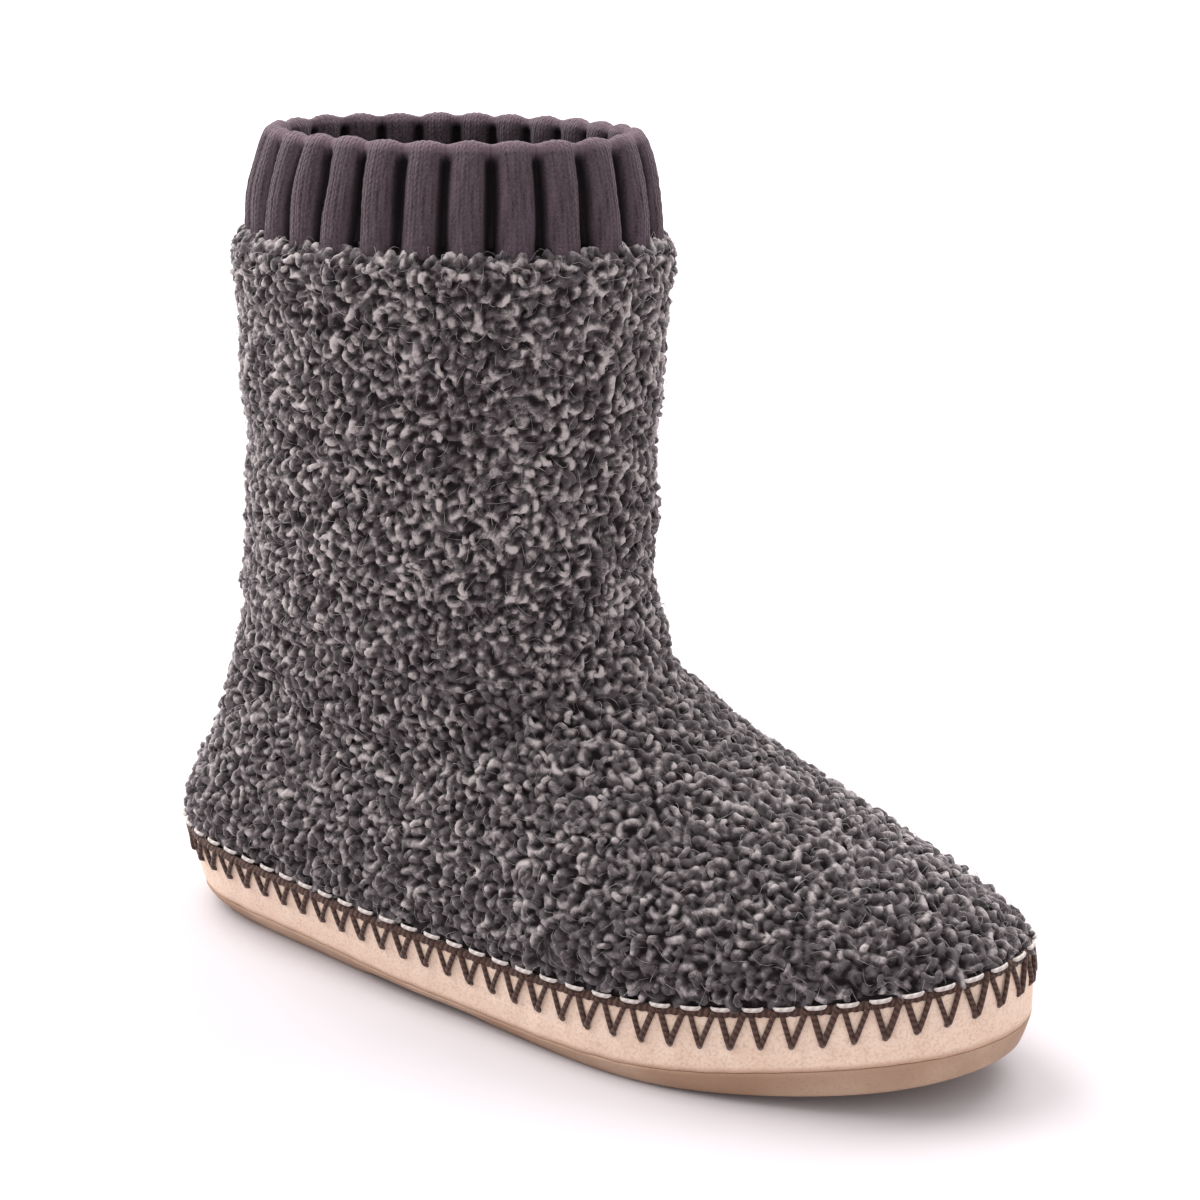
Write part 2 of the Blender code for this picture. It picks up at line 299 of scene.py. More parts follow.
def addPiece(name, points, faceSets, material, fields=None, replaced=()):
    # one mesh on the body, by default a closed sheet, with a number at each point in each field
    mesh = bpy.data.meshes.new(name)
    shape = points.shape[:-1]
    faceSets = faceSets or [sheetFaces(*shape, loopRows=True)]
    points = (points.reshape(-1, 3) - origin) / 1000.0
    mesh.vertices.add(len(points))
    mesh.vertices.foreach_set("co", points.astype(np.float32).ravel())
    corners = np.concatenate([faces.ravel() for faces in faceSets])
    sizes = np.concatenate([np.full(len(faces), faces.shape[1]) for faces in faceSets])
    mesh.loops.add(len(corners))
    mesh.loops.foreach_set("vertex_index", corners.astype(np.int32))
    mesh.polygons.add(len(sizes))
    starts = np.append(0, np.cumsum(sizes)[:-1])
    mesh.polygons.foreach_set("loop_start", starts.astype(np.int32))
    mesh.materials.append(material)
    for fieldName, values in (fields or {}).items():
        layer = mesh.attributes.new(fieldName, "FLOAT", "POINT")
        layer.data.foreach_set("value", np.broadcast_to(values, shape).astype(np.float32).ravel())
    mesh.update(calc_edges=True)
    mesh.validate()
    mesh.shade_smooth()
    piece = addObject(name, mesh)
    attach(piece, "root")
    if replaced:
        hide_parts(*replaced)
    print(f"{name}: {int((sizes - 2).sum())} triangles")
    return piece


def tubes(paths, radii, sideways, sides, flatten=1.0):
    # closed tubes along many paths, with the run along and the turn round each
    count, steps = paths.shape[:2]
    radii = np.broadcast_to(radii, (count, steps))[:, :, None, None]
    ahead = unit(np.gradient(paths, axis=1))
    across = unit(sideways - (sideways * ahead).sum(-1, keepdims=True) * ahead)
    out = np.cross(ahead, across)
    turn = turns(sides)
    ring = (np.cos(turn)[:, None] * across[:, :, None, :]
            + np.sin(turn)[:, None] * out[:, :, None, :] * flatten)
    points = paths[:, :, None, :] + radii * ring
    starts = (np.arange(count) * steps * sides)[:, None]
    walls = (sheetFaces(steps, sides) + starts[..., None]).reshape(-1, 4)
    low = np.arange(sides)[::-1] + starts
    high = np.arange(sides) + (steps - 1) * sides + starts
    run = np.cumsum(lengths(np.diff(paths, axis=1)), axis=1)
    along = np.concatenate((np.zeros((count, 1)), run), axis=1)
    return points, [walls, np.concatenate((low, high))], {"along": along[:, :, None], "around": turn}


# Materials are node trees, their patterns sized in millimetres.

def fill(socket, value):
    # a socket takes a node's output, a hex colour or a plain value
    if isinstance(value, bpy.types.NodeSocket):
        socket.id_data.links.new(value, socket)
    else:
        socket.default_value = linear(value) if isinstance(value, str) else value


def addNode(tree, kind, *values, output=None, **settings):
    # adds a node of a kind and operation, its open inputs in order and the rest by name; gives one
    # output
    kind, *operation = kind.split()
    made = tree.nodes.new("ShaderNode" + kind)
    if operation:
        made.operation = operation[0]
    named = [name for name in settings if name in made.inputs]
    for name in settings:
        if name not in named:
            setattr(made, name, settings[name])
    openInputs = [socket for socket in made.inputs if socket.enabled]
    for socket, value in zip(openInputs, values):
        fill(socket, value)
    for name in named:
        fill(made.inputs[name], settings[name])
    return made.outputs[output] if output else [socket for socket in made.outputs if socket.enabled][0]


def dressShader(material, **values):
    shader = material.node_tree.nodes["Principled BSDF"]
    for name, value in values.items():
        fill(shader.inputs[name.replace("_", " ")], value)
    return material


def finish(material, add, colour, pattern, strength, depth, **values):
    # the colour and a fine relief: its pattern, its strength and its depth in metres
    relief = add("Bump", Height=pattern, Strength=strength, Distance=depth)
    return dressShader(material, Base_Color=colour, Normal=relief, **values)


def startMaterial(name, roughness, specular, sizes, fields=(), **values):
    # a material, the way to add its nodes, the place on the object, cloudy patterns of the given sizes
    # (millimetres, detail) and the mesh's own fields
    material = bpy.data.materials.new(name)
    material.use_nodes = True
    dressShader(material, Roughness=roughness, Specular_IOR_Level=specular, **values)
    add = partial(addNode, material.node_tree)
    place = add("TexCoord", output="Object")
    patterns = [add("TexNoise", place, Scale=1000.0 / size, Detail=detail) for size, detail in sizes]
    marks = [add("Attribute", attribute_name=field, output="Fac") for field in fields]
    return material, add, place, *patterns, *marks


softly = {"interpolation_type": "SMOOTHSTEP"}


def coats(add, colour, *layers):
    # lays coats over a colour: pattern, where it starts and is full, its strength there if not 0
    # and 1, and the coat
    for pattern, low, high, *strength, coat in layers:
        share = add("MapRange", pattern, low, high, *strength, **softly)
        colour = add("Mix", share, colour, coat, data_type="RGBA")
    return colour


def plies(add, along, around, pitch):
    # -1 to 1 across two plies that wind round each other once a pitch
    wound = add("Math MULTIPLY", along, tau / pitch)
    return add("Math SINE", add("Math ADD", wound, around))


# The boucle knit

boucle = {
    "seed": 11, "sink": 2.3,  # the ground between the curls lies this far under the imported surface
    # the soft curls of the cloth's own face, big and small
    "soft": ({"spacing": 3.1, "half": (0.2, 1.7), "radius": (1.3, 1.85), "rise": (1.8, 2.9),
              "shade": (0.05, 1.1)},
             {"spacing": 2.1, "half": (0.0, 0.9), "radius": (1.0, 1.5), "rise": (0.6, 1.4),
              "shade": (-0.35, 0.25)}),
    # bands of mesh that carry them: first and last row, columns, rows
    "bands": (("Foot", 0.0, 4.0, 800, 54), ("Ankle", 3.97, 8.03, 640, 112), ("Shaft", 8.0, 16.0, 470, 154)),
    "reach": (11, 8),  # rows and columns of mesh that one soft curl may cover each way
    "unevenness": (0.35, 22.0),  # depth and wavelength
    # loose curls over it: half length or ring radius, yarn radius, and the turn of a ring
    "loose": (("Rings", 10, {"spacing": 12.0, "half": (1.3, 2.1), "radius": (0.65, 0.95),
                             "rise": (2.4, 3.0), "turn": (1.8, 3.6)}),
              ("Strands", 8, {"spacing": 7.2, "half": (1.6, 3.0), "radius": (0.6, 0.95),
                              "rise": (2.4, 3.2), "turn": (0.0, 0.0)})),
    # stray fibres, and how far up in the curls their feet stand
    "fuzz": {"spacing": 3.9, "half": (1.5, 3.6), "radius": (0.05, 0.075), "rise": (2.5, 4.1)},
    "fuzzFoot": 0.8,
    "clear": {"soft": 2.4, "loose": 3.6, "fuzz": 3.0},  # how far they keep above the wall's top edge
    "paintedSeamShade": 0.34,  # painted shade: how much darker the knit is painted just above the wall's seam
    "backing": 1.4, "lining": (3.0, 5.0),  # thickness; where the lining starts and ends
    # tones of the marled yarn, lighter on the curls' tops as painted highlight; ground is the dark ground
    # yarn, darkened further between the curls as painted shade
    "dark": "#272023", "middle": "#4a4446", "light": "#aea5a4", "ground": "#1b1417",
    "plyPitch": 2.6, "evenMarl": 0.44,
}


def boucleYarn():
    # brushed acrylic and wool boucle, a pale and a dark ply thrown up in curls: matt and marled, with a pale
    # halo;
    # painted highlight makes the curls' tops lighter, and painted shade over a dark ground yarn makes it
    # nearly black between
    material, add, place, clump, fibre, fleck, hairs, shade, rise, along, around = startMaterial(
        "marled boucle yarn, thrown in curls", 0.9, 0.2, ((4.4, 2.0), (0.55, 2.0), (2.3, 1.0), (0.35, 1.0)),
        ("shade", "rise", "along", "around"), Sheen_Roughness=0.45, Sheen_Tint="#e8dfe2",
        Subsurface_Weight=0.5, Subsurface_Scale=0.0012, Subsurface_Radius=(1.0, 0.9, 0.9))
    wind = plies(add, along, around, boucle["plyPitch"])
    marl = add("Math MULTIPLY", shade, 0.64)
    marl = add("Math MULTIPLY_ADD", wind, 0.05, marl)
    # the rise pattern is painted highlight on the curls' tops and painted shade low down; clump, fibre and
    # fleck are the yarn's own marl
    for pattern, low, high, dark, pale in (
            (clump, 0.32, 0.68, -0.22, 0.38), (fibre, 0.3, 0.7, -0.1, 0.12),
            (fleck, 0.42, 0.64, -0.1, 0.18), (rise, 0.1, 1.05, -0.32, 0.48)):
        marl = add("Math ADD", marl, add("MapRange", pattern, low, high, dark, pale, **softly))
    # more even over the foot than up the shaft
    height = add("SeparateXYZ", place, output="Z")
    contrast = add("MapRange", height, 0.08, 0.125, 0.78, 1.0, **softly)
    marl = add("Math SUBTRACT", marl, boucle["evenMarl"])
    marl = add("Math MULTIPLY_ADD", marl, contrast, boucle["evenMarl"])
    full = coats(add, boucle["dark"], (marl, -0.2, 0.5, boucle["middle"]),
                 (marl, 0.45, 1.45, boucle["light"]))
    # painted shade: low between the curls the colour goes over to the dark ground, which is partly the ground
    # yarn's own colour
    deep = coats(add, boucle["ground"], (rise, -0.05, 0.4, full))
    relief = add("Math MULTIPLY_ADD", wind, 0.35, hairs)
    sheen = add("MapRange", rise, 0.1, 0.8, 0.0, 0.4, **softly)
    return finish(material, add, deep, relief, 0.45, 0.0003, Sheen_Weight=sheen)


def fleecePile():
    # brushed polyester fleece: soft, matt, in small clumps of pile with a faint sheen
    material, add, place, clump, fine = startMaterial(
        "brushed fleece pile", 0.95, 0.2, ((4.0, 4.0), (0.9, 3.0)), Sheen_Weight=0.4,
        Sheen_Tint="#cfc6c8")
    colour = coats(add, "#2c2629", (clump, 0.3, 0.72, "#57504f"))
    return finish(material, add, colour, fine, 0.9, 0.0012)


fleece = fleecePile()


def sinkAt(row):
    return boucle["sink"] * ease(0.0, 0.8, row) * ease(lastRow, edgeRow - 0.1, row)


def paintedSeamShade(points, angle):
    # painted shade: how much darker the knit is painted just above the wall's seam, more towards the toe
    above = points[..., 2] - spring(points[..., 0]) - topHeight(station(angle))
    share = ease(24.0, 8.0, above) * (0.4 + 0.6 * ease(0.15, 0.5, station(angle)))
    return boucle["paintedSeamShade"] * share


def clothSurface(row, angle):
    # the knit's surface and normal, with its folds and unevenness
    point, normal = knitPoint(row, angle), knitNormal(row, angle)
    depth, wavelength = boucle["unevenness"]
    moved = foldDepth(point) + depth * rolling(point, wavelength, 5)
    moved = moved * ease(0.0, 1.6, row) * ease(lastRow, lastRow - 1.0, row)
    return point + moved[..., None] * normal, normal


def evenRows(count, low, high, angle):
    # row numbers that step evenly up the boot
    fine = np.linspace(low, high, 400)
    return evenly(fine, knitPoint(fine, angle), count)


def evenTurns(count, row):
    # angles that step evenly round the boot at one row
    fine = np.linspace(0.0, tau, 2001)
    return evenly(fine, knitPoint(row, fine), count, closed=True)


def curlPlaces(spacing, seed, aboveRim):
    # points at least a spacing apart, even over the knit by area
    draw = np.random.default_rng(seed)
    rows, columns = 300, 480
    row = np.linspace(0.0, lastRow, rows + 1)[:, None]
    angle = np.linspace(0.0, tau, columns + 1)[None, :]
    grid = knitPoint(row, angle)
    area = lengths(np.cross(grid[1:, :-1] - grid[:-1, :-1], grid[:-1, 1:] - grid[:-1, :-1]))
    tries = int(area.sum() / spacing ** 2 * 7.0)
    chosen = draw.choice(area.size, tries, p=area.ravel() / area.sum())
    row = (chosen // columns + draw.random(tries)) * lastRow / rows
    angle = (chosen % columns + draw.random(tries)) * tau / columns
    place = knitPoint(row, angle)
    rim = topHeight(station(angle)) + spring(place[:, 0])
    row, angle, place = (values[place[:, 2] > rim + aboveRim] for values in (row, angle, place))
    taken, kept = {}, []
    cells = np.floor(place / spacing).astype(int)
    around = [(i, j, k) for i in (-1, 0, 1) for j in (-1, 0, 1) for k in (-1, 0, 1)]
    for n, ((x, y, z), (a, b, c)) in enumerate(zip(place, cells)):
        near = [m for i, j, k in around for m in taken.get((a + i, b + j, c + k), ())]
        if all((x - u) ** 2 + (y - v) ** 2 + (z - w) ** 2 >= spacing * spacing for u, v, w in near):
            taken.setdefault((a, b, c), []).append((x, y, z))
            kept.append(n)
    return row[kept], angle[kept]


def layCurls(kind, clear, placeSeed, drawSeed):
    # where curls of one kind lie, the ground under each, its heading and its sizes
    draw = np.random.default_rng(boucle["seed"] + drawSeed)
    row, angle = curlPlaces(kind["spacing"], boucle["seed"] + placeSeed, clear)
    along, normal = knitAlong(row, angle), knitNormal(row, angle)
    heading = draw.uniform(0.0, tau, len(row))[:, None]
    ahead = np.cos(heading) * along + np.sin(heading) * np.cross(normal, along)
    surface = clothSurface(row, angle)[0]
    curls = {"row": row, "angle": angle, "normal": normal, "ahead": ahead,
             "sideways": np.cross(normal, ahead), "base": surface - sinkAt(row)[:, None] * normal,
             "paintedSeamShade": paintedSeamShade(surface, angle)}
    for name in ("half", "radius", "rise", "turn"):
        if name in kind:
            curls[name] = draw.uniform(*kind[name], len(row))
    return curls, draw, len(row)


def curlPaths(curls, forward, across, height):
    # lines from each curl's ground: along its heading, across it and up
    moves = (("ahead", forward), ("sideways", across), ("normal", height))
    return curls["base"][:, None] + sum(move[..., None] * curls[way][:, None] for way, move in moves)


def softCurls():
    parts = []
    for number, kind in enumerate(boucle["soft"]):
        curls, draw, count = layCurls(kind, boucle["clear"]["soft"], 40 + number, 50 + number)
        dark, pale = kind["shade"]
        curls["shade"] = dark + (pale - dark) * draw.beta(1.5, 1.8, count)
        curls["centre"] = knitPoint(curls["row"], curls["angle"])
        curls["bend"] = draw.normal(0.0, 0.6, count) * curls["half"]
        curls["phase"] = draw.uniform(0.0, 9.0, count)
        parts.append(curls)
    return {name: np.concatenate([part[name] for part in parts]) for name in parts[0]}


def curlRelief(curls, rowList, angleList, surface):
    # the soft curls over one band of mesh: height, core, shade and the run and turn of the yarn
    rows, columns = surface.shape[:2]
    here = (curls["row"] > rowList[0] - 0.6) & (curls["row"] < rowList[-1] + 0.6)
    one = {name: values[here][:, None, None] for name, values in curls.items()}
    nearRow = np.interp(one["row"], rowList, np.arange(rows))
    nearColumn = np.interp(one["angle"], np.append(angleList, tau), np.arange(columns + 1))
    up, across = boucle["reach"]
    r = np.rint(nearRow).astype(int) + np.arange(-up, up + 1)[:, None]
    c = (np.rint(nearColumn).astype(int) + np.arange(-across, across + 1)) % columns
    inside = (r >= 0) & (r < rows)
    index = np.clip(r, 0, rows - 1) * columns + c
    offset = surface.reshape(-1, 3)[index] - one["centre"]
    u = (offset * one["ahead"]).sum(-1)
    v = (offset * one["sideways"]).sum(-1) - one["bend"] * (0.5 - (u / (one["half"] + 0.5)) ** 2)
    away = np.hypot(np.maximum(np.abs(u) - one["half"], 0.0), v) / one["radius"]
    dome = np.maximum(1.0 - away ** 2, 0.0)
    height = np.where(inside, one["rise"] * dome ** 0.8, 0.0)
    weight = height ** 5  # the higher curl hides the lower one, with a soft join
    total = np.bincount(index.ravel(), weight.ravel(), rows * columns)
    means = [np.bincount(index.ravel(), (weight * value).ravel(), rows * columns) / np.maximum(total, 1e-9)
             for value in (dome ** 1.4, one["shade"], u + one["phase"], 1.4 * v / one["radius"])]
    return [part.reshape(rows, columns) for part in (total ** 0.2, *means)]


def buildShell():
    curls, yarn = softCurls(), boucleYarn()
    for name, low, high, columns, rows in boucle["bands"]:
        rowList, angle = evenRows(rows, low, high, 2.5), evenTurns(columns, 0.5 * (low + high))
        row = rowList[:, None]
        surface, normal = clothSurface(row, angle)
        height, core, shade, run, around = curlRelief(curls, rowList, angle, knitPoint(row, angle))
        base = sinkAt(row)
        outer = surface + (height - base + 0.15 * rolling(surface, 2.2, 3))[..., None] * normal
        under = np.linspace(rows - 1, 0, 9).astype(int)  # the backing needs few rows
        inner = surface[under] - (base[under] + boucle["backing"])[..., None] * normal[under]
        # painted shade just above the wall's seam
        shade = shade - paintedSeamShade(surface, angle)
        # rise, highest on each curl's top, places the material's painted highlight and painted shade
        fields = {"shade": shade, "along": run, "around": around, "rise": 1.05 * core}
        fields = {key: np.concatenate((value, value[under])) for key, value in fields.items()}
        points = np.concatenate((outer, inner))
        addPiece(f"boucle{name}", points, None, yarn, fields, replaced=("upper",))
    surface, normal = clothSurface(evenRows(70, 0.0, edgeRow, 1.9)[::-1, None], evenTurns(240, 6.0))
    pile = 0.45 * rolling(surface, 5.0, 8) + 0.25 * rolling(surface, 2.6, 9)
    start, end = boucle["lining"]
    points = np.concatenate((surface - (end - pile)[..., None] * normal, (surface - start * normal)[::-1]))
    addPiece("fleeceLining", points, None, fleece)


def buildLooseCurls():
    yarn = boucleYarn()
    for number, (name, steps, kind) in enumerate(boucle["loose"]):
        curls, draw, count = layCurls(kind, boucle["clear"]["loose"], number, 10 * number)
        half, radius, rise, turn = (curls[key][:, None] for key in ("half", "radius", "rise", "turn"))
        bend, lean = draw.normal(0.0, 0.35, (2, count, 1)) * half
        s = np.linspace(-1.0, 1.0, steps)
        arch = 1.0 - s * s
        isRing = kind["turn"][1] > 0.0
        if isRing:  # lies on the cloth with both ends tucked in
            forward, across = half * np.cos(0.5 * turn * s) - 0.4 * half, half * np.sin(0.5 * turn * s)
            height = rise * (1.0 - s ** 6) * (1.0 + lean / 4.0 * s)
        else:  # an arch that leans and bends to one side
            forward, across = half * s, bend * (arch - 0.5) + lean * arch
            height = rise * arch ** 0.75
        path = (curlPaths(curls, forward, across, height - 0.9 * radius)
                + draw.normal(0.0, 0.2, (count, steps, 3)) * radius[:, None])
        thick = radius * (0.72 + 0.34 * arch) * draw.uniform(0.88, 1.12, (count, steps))
        upright = curls["normal" if isRing else "sideways"]
        points, faces, fields = tubes(path, thick, upright[:, None], 6)
        points += draw.normal(0.0, 0.07, points.shape) * radius[..., None, None]
        level = ((points - curls["base"][:, None, None]) * curls["normal"][:, None, None]).sum(-1)
        # rise, highest on each curl's top, places the material's painted highlight and painted shade
        fields["rise"] = level / (rise + 0.1 * radius)[..., None]
        # painted shade just above the wall's seam
        shade = draw.beta(1.6, 1.9, count) - curls["paintedSeamShade"]
        fields["shade"] = np.clip(shade, -0.3, 1.0)[:, None, None]
        fields["along"] += draw.uniform(0.0, 9.0, count)[:, None, None]
        addPiece(f"boucle{name}1", points, faces, yarn, fields)


def buildFuzz():
    # single fibres that stand off the curls
    curls, draw, count = layCurls(boucle["fuzz"], boucle["clear"]["fuzz"], 78, 77)
    half, radius, rise = (curls[key][:, None] for key in ("half", "radius", "rise"))
    s = np.linspace(-1.0, 1.0, 5)
    arch = 1.0 - s * s
    lean, bend = draw.normal(0.0, 0.3, (2, count, 1)) * half
    height = boucle["fuzzFoot"] + (rise - boucle["fuzzFoot"]) * arch
    path = curlPaths(curls, half * s + lean * arch, bend * s * s, height)
    points, faces, fields = tubes(path, radius * (1.0 - 0.5 * s * s), curls["sideways"][:, None], 3)
    fields["shade"] = draw.uniform(0.3, 0.9, count)[:, None, None]
    # the fibres take the colour of the curls' tops, with their painted highlight
    fields["rise"] = 0.9
    addPiece("boucleFuzz", points, faces, boucleYarn(), fields)


# The folded rib-knit cuff

cuff = {
    "height": 31.0, "ribs": 26, "perRib": 22, "profileSteps": 108,
    # height as a share of the cuff's, distance inside the knit's top edge
    "profile": ((0.0, 3.4), (0.06, 2.4), (0.35, 3.0), (0.65, 4.8), (0.86, 6.9), (0.97, 9.0), (1.0, 11.2),
                (0.97, 13.3), (0.86, 14.9), (0.6, 14.1), (0.3, 11.7), (0.0, 9.4)),
    "grooveDepth": 3.7, "grooveSharpness": 4.2, "ribRoundness": 1.3, "ribShift": 0.2,
    "walesPerRib": 6.0, "waleDepth": 0.1, "coursePitch": 1.7, "middleLine": 6.0,
    # shade: painted shade down the grooves and at the foot, and dark streaks; bloom: painted highlight on the
    # raised stitch legs, and pale streaks; crest: painted highlight on the folded top, and fuzz
    "yarn": "#383035", "cloud": "#30282d", "shade": "#10080c", "bloom": "#4d4147", "crest": "#705c65",
}


def ribYarn():
    # two-ply acrylic, weft knitted as a wide rib: matt plum grey, in columns of V stitches
    material, add, place, wander, fuzz, cloud, wale, course, depth, crest = startMaterial(
        "rib-knit acrylic, weft knitted", 0.88, 0.2, ((4.0, 2.0), (0.6, 3.0), (9.0, 2.0)),
        ("wale", "course", "depth", "crest"), Sheen_Roughness=0.4, Sheen_Tint="#d9c9cf")
    shifted = add("Math MULTIPLY_ADD", wander, 0.35, wale)
    inWale = add("Math PINGPONG", shifted, 0.5)
    slant = add("Math MULTIPLY_ADD", inWale, 1.6, add("Math MULTIPLY_ADD", wander, 0.8, course))
    stitch, leg = (add("Math SINE", add("Math MULTIPLY", line, tau)) for line in (slant, inWale))
    relief = add("Math ADD", leg, add("Math MULTIPLY", stitch, 0.3))
    # plies that lie higher show as broken upright lines
    ply = add("CombineXYZ", add("Math MULTIPLY", wale, 1.7), add("Math MULTIPLY", course, 0.16))
    streak = add("TexNoise", ply, Scale=1.0)
    # painted highlight on the raised stitch legs (relief) and the folded top (crest); painted shade down the
    # grooves and along the foot (depth)
    colour = coats(
        add, cuff["yarn"], (cloud, 0.3, 0.7, cuff["cloud"]),
        (relief, -0.6, 1.1, 0.0, 0.28, cuff["bloom"]), (streak, 0.4, 0.68, 0.0, 0.7, cuff["bloom"]),
        (streak, 0.3, 0.46, 0.45, 0.0, cuff["shade"]), (fuzz, 0.35, 0.75, 0.0, 0.28, cuff["crest"]),
        (crest, 0.5, 1.0, 0.0, 0.5, cuff["crest"]), (depth, 0.3, 0.85, cuff["shade"]))
    flatter = add("MapRange", depth, 0.03, 0.25, 1.0, 0.25, **softly)
    height = add("Math MULTIPLY_ADD", fuzz, 0.8, add("Math MULTIPLY", relief, flatter))
    sheen = add("MapRange", depth, 0.0, 0.3, 0.2, 0.0, **softly)
    return finish(material, add, colour, height, 0.7, 0.00035, Sheen_Weight=sheen)


def closedProfile(table, steps):
    # a smooth closed line through the table's points, its outward normals and its run
    points = np.array([(inside, share * cuff["height"]) for share, inside in table], float)
    fine, count = [], len(points)
    u = np.linspace(0.0, 1.0, 40, endpoint=False)[:, None]
    for i in range(count):
        a, b, c, d = (points[(i + k) % count] for k in (-1, 0, 1, 2))
        bent = 0.5 * (2.0 * b + (c - a) * u + (2.0 * a - 5.0 * b + 4.0 * c - d) * u ** 2
                      + (3.0 * b - a - 3.0 * c + d) * u ** 3)
        fine.append(b + (c - b) * u if i == count - 1 else bent)  # its seat on the knit is straight
    fine = np.concatenate(fine)
    closed = np.concatenate((fine, fine[:1]))
    run = runAlong(closed)
    goal = np.linspace(0.0, run[-1], steps, endpoint=False)
    line = np.stack([np.interp(goal, run, closed[:, k]) for k in (0, 1)], -1)
    ahead = headings(line)
    return line, np.stack([-ahead[:, 1], ahead[:, 0]], -1), goal


def buildCuff():
    top = boot["sections"][edgeRow]
    middle, length = 0.5 * (top[0] + top[2]), top[2] - top[0]
    line, outward, run = closedProfile(cuff["profile"], cuff["profileSteps"])
    # columns step evenly round an oval inside the cuff
    ribs, perRib = cuff["ribs"], cuff["perRib"]
    columns = ribs * perRib
    fine = np.linspace(0.0, tau, 4001)
    between = 0.5 * (fine[1:] + fine[:-1])
    longHalf, wideHalf = 0.5 * length - cuff["middleLine"], top[4] - cuff["middleLine"]
    arc = np.append(0.0, np.cumsum(np.hypot(longHalf * np.sin(between), wideHalf * np.cos(between))))
    k = np.arange(columns)
    shifted = k + cuff["ribShift"] * perRib
    angle = np.interp(arc[-1] * (shifted % columns) / columns, arc, fine)
    angle = angle + np.where(shifted >= columns, tau, 0.0)
    inside, height = line[:, :1], line[:, 1:]
    # ribs wander as they climb, and no two grooves are alike
    draw = np.random.default_rng(4)
    phase = draw.uniform(0.0, tau, ribs)[(k + perRib // 2) // perRib % ribs]
    across = (k / perRib + 0.5) % 1.0 - 0.5
    wave = 0.5 - 0.5 * np.cos(tau * across)
    topness = ease(0.83, 0.98, height / cuff["height"])
    innerSide = ease(10.0, 12.5, inside)
    number = k // perRib
    uneven = draw.uniform(0.8, 1.1, ribs)[number]
    sharp = cuff["grooveSharpness"] * draw.uniform(0.8, 1.25, ribs)[number]
    sharp = sharp * (1.0 + 0.25 * np.sin(height / 4.6 + 3.0 * phase[number * perRib]))
    deep = cuff["grooveDepth"] * uneven * (1.0 - 0.85 * topness) * (1.0 - 0.4 * innerSide)
    groove = deep * wave ** (sharp - 1.2 * topness) + cuff["ribRoundness"] * wave * (1.0 - 0.55 * topness)
    seat = ease(0.5, 3.0, height)  # grooves run out just above the seam
    wale = across * cuff["walesPerRib"]
    waleRelief = cuff["waleDepth"] * np.cos(tau * (wale + 0.5)) * ease(0.55, 0.2, wave)
    move = -groove * (0.35 + 0.65 * seat) + waleRelief
    out, up = outward[:, :1], outward[:, 1:]
    insideNow = inside + move * out
    a = angle + 0.004 * np.sin(height / 9.0 + phase) * seat
    x = middle - (0.5 * length - insideNow) * np.cos(a)
    y = -(top[4] - insideNow) * np.sin(a)
    seam = top[1] + (top[3] - top[1]) * (x - top[0]) / length
    points = np.stack([x, y, seam + sole["gap"] + (height + move * up)], -1)
    bumps = 0.12 * rolling(points, 3.0, 21) + 0.25 * rolling(points, 17.0, 22)
    points += bumps[..., None] * np.stack([np.cos(a) * out, np.sin(a) * out, up + 0.0 * a], -1)
    # painted shade: dark down the grooves and along the cuff's foot, passed to the material as its depth
    # field
    shadow = np.maximum(wave ** 3.0 * (1.0 - 0.75 * topness), 0.45 * ease(6.0, 0.5, height))
    fields = {"wale": wale, "course": run[:, None] / cuff["coursePitch"], "depth": shadow, "crest": topness}
    addPiece("ribCuff", points, None, ribYarn(), fields, replaced=("cuff",))


# The suede wall and its stitching

wall = {
    "columns": 640, "shares": 22, "suede": "#d8beac", "worn": "#a17e68", "nap": "#e6d2c2",
    "warm": "#d0a488", "edge": "#a8846d",  # down its lower half, and painted shade along its foot
    "turned": (0.4, 1.2),  # how far the top edge is turned in, over the last of its height
    "waviness": (0.18, 9.0), "pull": (0.5, 1.6),  # depth and wavelength; depth and width at a stitch
    "vPitch": 8.2, "vDepth": (7.2, 9.6), "vHalf": 3.3, "vRadius": 0.82,  # depth at the heel and at the toe
    "vTop": 0.6, "vCross": 0.0016,  # start above the wall's edge; how far the legs cross, in radians
    "vLift": (0.45, 0.3, 1.3),  # off the wall, more for the upper leg, and down the tip's hole
    "bandRadius": 1.25, "bandRise": 0.4, "bandWind": 2.3, "bandColour": "#311d18", "bandCrest": "#52392f",
    "dashPitch": 8.3, "dashLength": 5.6, "dashRadius": 0.68, "dashRise": (3.1, 1.9), "dashLift": (1.05, 0.7),
    "dashColour": "#aea39f", "dashCrest": "#c6bdb8",
}


def suede():
    # split cowhide suede, napped: matt, in soft patches where the nap lies two ways
    material, add, place, lie, grain, share = startMaterial(
        "split cowhide suede, napped", 0.97, 0.15, ((7.0, 4.0), (0.8, 3.0)), ("share",),
        Sheen_Weight=0.25, Sheen_Tint="#ffeade")
    lie.node.inputs["Roughness"].default_value = 0.6  # crisper patches
    # the edge coat is painted shade along the wall's foot, where it meets the outsole
    colour = coats(
        add, wall["suede"], (lie, 0.3, 0.7, 0.0, 0.45, wall["nap"]),
        (grain, 0.42, 0.75, 0.0, 0.4, wall["worn"]), (share, 0.5, 0.0, 0.0, 0.12, wall["warm"]),
        (share, 0.12, 0.0, 0.0, 0.7, wall["edge"]))
    return finish(material, add, colour, grain, 0.35, 0.0003)


